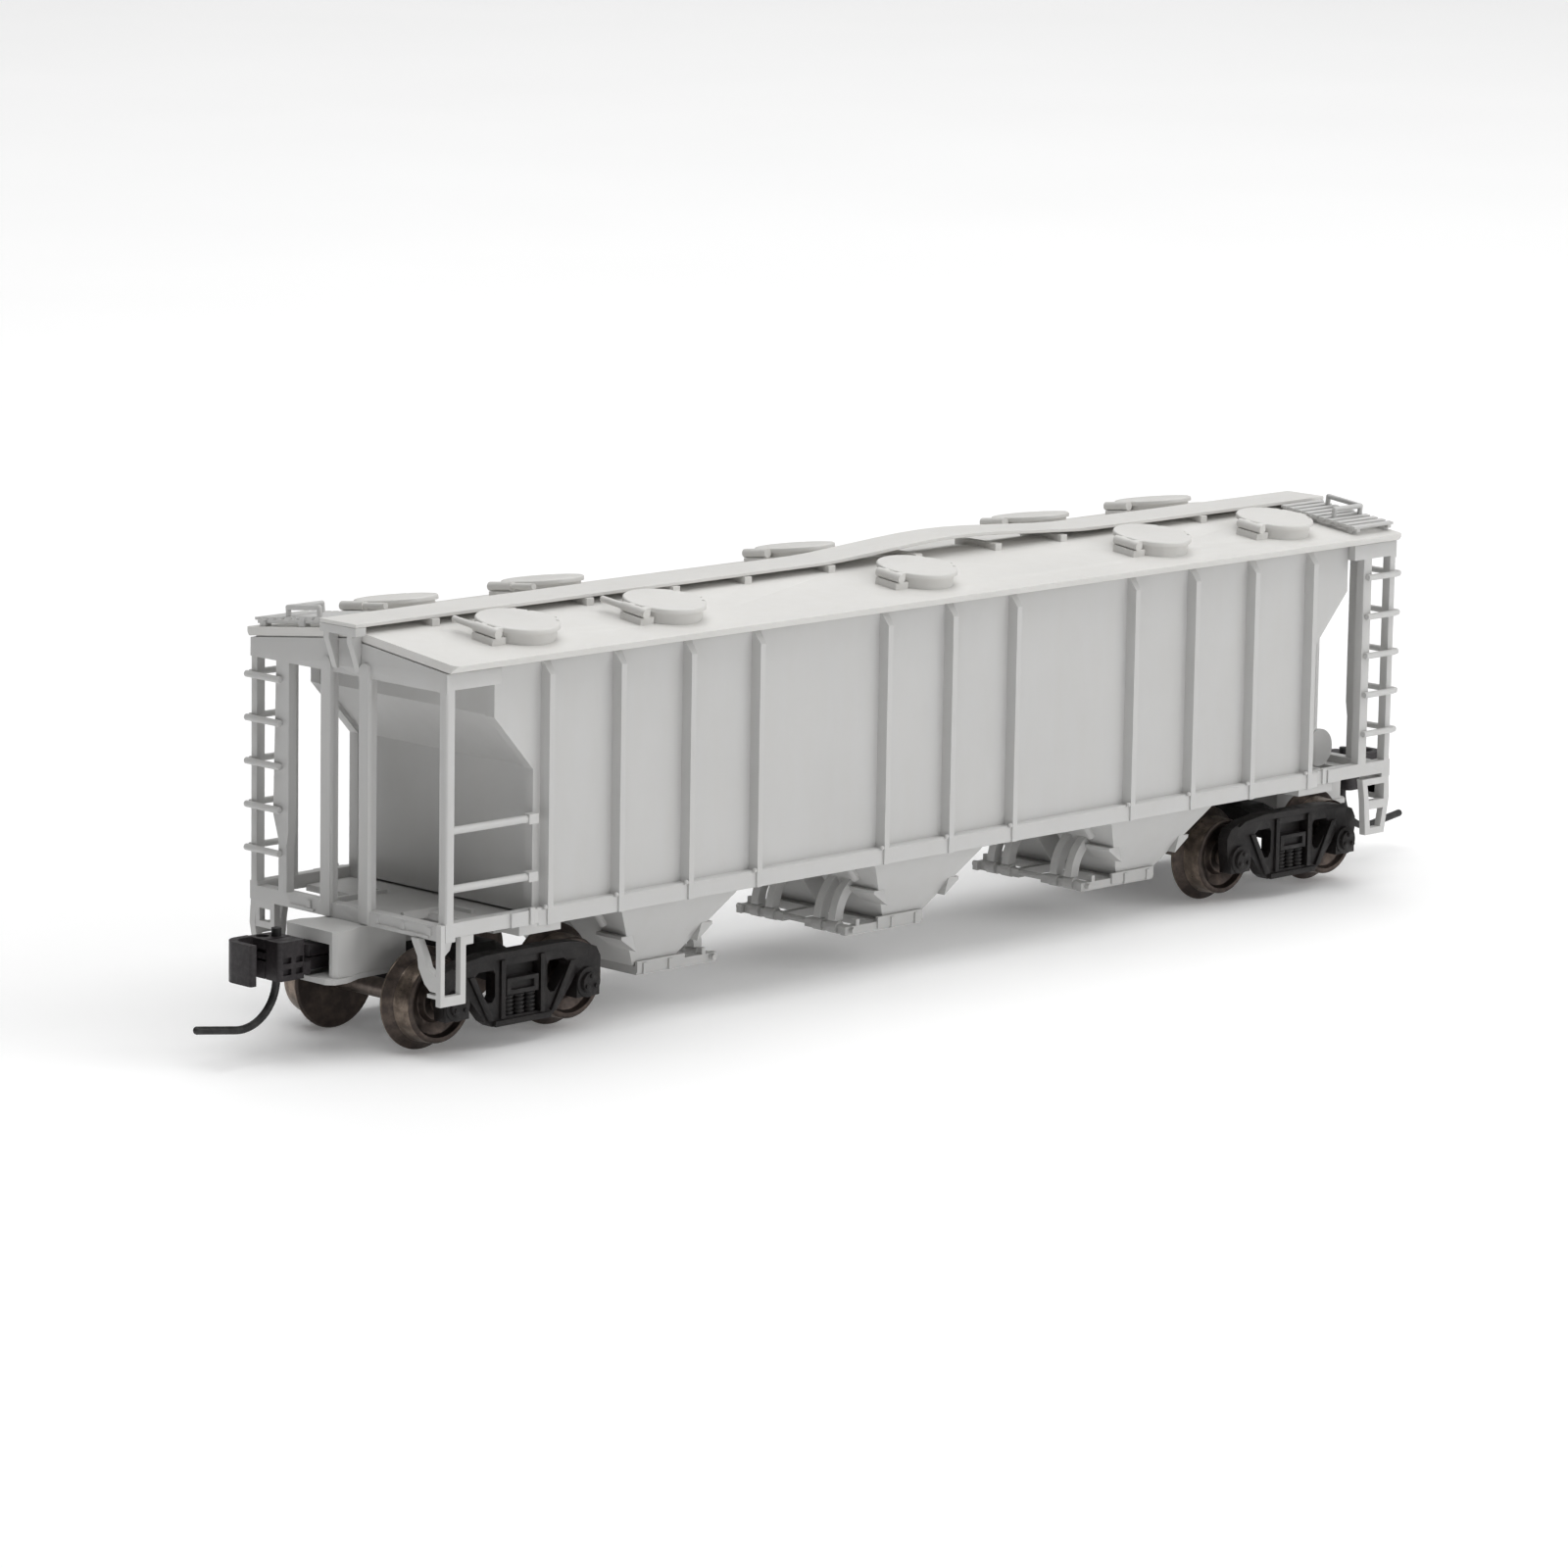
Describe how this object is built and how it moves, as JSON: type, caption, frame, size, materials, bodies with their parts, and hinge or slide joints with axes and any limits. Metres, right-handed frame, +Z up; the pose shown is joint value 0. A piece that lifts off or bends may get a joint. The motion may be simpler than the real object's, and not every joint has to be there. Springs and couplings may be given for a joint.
{
  "type": "model hopper car",
  "caption": "Scale model of a covered hopper railway wagon with ribbed sides, roof hatches, open end bays with ladders, sloping discharge hoppers, swivelling bogies and knuckle couplers.",
  "frame": {"origin": "middle of the car at the level of the wheel flanges' lowest points", "axes": "+X along the car toward the end with the brake gear, +Y across it, +Z up"},
  "size_m": [0.1102, 0.0194, 0.0268],
  "materials": {
    "body_plastic": "satin light grey paint on moulded styrene",
    "roof_plastic": "satin light grey paint, a little lighter",
    "detail_plastic": "satin light grey fine mouldings",
    "truck_plastic": "dull black engineering plastic",
    "coupler_plastic": "dull black engineering plastic",
    "blackened_metal": "chemically blackened, worn bright on the treads",
    "steel": "bare"
  },
  "bodies": {
    "car": {"body_shell": "body_plastic", "end_frame_a": "body_plastic", "end_frame_b": "body_plastic", "underframe": "body_plastic", "hopper_bay_1": "body_plastic", "hopper_bay_2": "body_plastic", "hopper_bay_3": "body_plastic", "outlet_gate_1": "detail_plastic", "outlet_gate_2": "detail_plastic", "outlet_gate_3": "detail_plastic", "ladder_rungs": "detail_plastic", "side_grab_irons": "detail_plastic", "plain_stirrup_steps": "detail_plastic", "ladder_stirrup_steps": "detail_plastic", "running_board_brackets": "detail_plastic", "corner_platform_a": "detail_plastic", "corner_platform_b": "detail_plastic", "platform_irons": "detail_plastic", "brake_wheel": "detail_plastic", "brake_housing": "detail_plastic", "brake_cylinder": "detail_plastic", "air_reservoir": "detail_plastic", "control_valve": "detail_plastic", "brake_piping": "detail_plastic", "draft_box_covers": "detail_plastic", "roof": "roof_plastic", "running_board": "roof_plastic", "hatch_cover_1a": "roof_plastic", "hatch_cover_1b": "roof_plastic", "hatch_cover_2a": "roof_plastic", "hatch_cover_2b": "roof_plastic", "hatch_cover_3a": "roof_plastic", "hatch_cover_3b": "roof_plastic", "hatch_cover_4a": "roof_plastic", "hatch_cover_4b": "roof_plastic", "hatch_cover_5a": "roof_plastic", "hatch_cover_5b": "roof_plastic", "ballast_weight": "steel", "draft_box_screws": "coupler_plastic", "truck_pins": "truck_plastic", "centring_spring_a": "steel", "centring_spring_b": "steel"},
    "truck_a": {"truck_frame_a": "truck_plastic"},
    "coupler_a": {"coupler_guard_a": "coupler_plastic"},
    "knuckle_a": {"coupler_knuckle_a": "coupler_plastic", "trip_pin_a": "blackened_metal"},
    "wheelset_a1": {"axle_a1": "blackened_metal", "wheels_a1": "blackened_metal"},
    "wheelset_a2": {"axle_a2": "blackened_metal", "wheels_a2": "blackened_metal"},
    "truck_b": {"truck_frame_b": "truck_plastic"},
    "coupler_b": {"coupler_guard_b": "coupler_plastic"},
    "knuckle_b": {"coupler_knuckle_b": "coupler_plastic", "trip_pin_b": "blackened_metal"},
    "wheelset_b1": {"axle_b1": "blackened_metal", "wheels_b1": "blackened_metal"},
    "wheelset_b2": {"axle_b2": "blackened_metal", "wheels_b2": "blackened_metal"}
  },
  "joints": [
    {"name": "truck_swivel_a", "type": "hinge", "parent": "car", "child": "truck_a", "pos_m": [-0.0356, 0, 0.005], "axis": [0, 0, 1], "range_deg": [-10, 10]},
    {"name": "coupler_swing_a", "type": "hinge", "parent": "car", "child": "coupler_a", "pos_m": [-0.0426, 0, 0.0055], "axis": [0, 0, 1], "range_deg": [-10, 10], "stiffness_Nm_per_rad": 0.00002},
    {"name": "knuckle_opening_a", "type": "hinge", "parent": "coupler_a", "child": "knuckle_a", "pos_m": [-0.0426, 0, 0.0063], "axis": [0, 0, -1], "range_deg": [0, 8], "stiffness_Nm_per_rad": 0.00002},
    {"name": "wheel_spin_a1", "type": "hinge", "parent": "truck_a", "child": "wheelset_a1", "pos_m": [-0.041, 0, 0.0032], "axis": [0, 1, 0], "continuous": true},
    {"name": "wheel_spin_a2", "type": "hinge", "parent": "truck_a", "child": "wheelset_a2", "pos_m": [-0.0302, 0, 0.0032], "axis": [0, 1, 0], "continuous": true},
    {"name": "truck_swivel_b", "type": "hinge", "parent": "car", "child": "truck_b", "pos_m": [0.0356, 0, 0.005], "axis": [0, 0, 1], "range_deg": [-10, 10]},
    {"name": "coupler_swing_b", "type": "hinge", "parent": "car", "child": "coupler_b", "pos_m": [0.0426, 0, 0.0055], "axis": [0, 0, 1], "range_deg": [-10, 10], "stiffness_Nm_per_rad": 0.00002},
    {"name": "knuckle_opening_b", "type": "hinge", "parent": "coupler_b", "child": "knuckle_b", "pos_m": [0.0426, 0, 0.0063], "axis": [0, 0, -1], "range_deg": [0, 8], "stiffness_Nm_per_rad": 0.00002},
    {"name": "wheel_spin_b1", "type": "hinge", "parent": "truck_b", "child": "wheelset_b1", "pos_m": [0.041, 0, 0.0032], "axis": [0, 1, 0], "continuous": true},
    {"name": "wheel_spin_b2", "type": "hinge", "parent": "truck_b", "child": "wheelset_b2", "pos_m": [0.0302, 0, 0.0032], "axis": [0, 1, 0], "continuous": true}
  ]
}
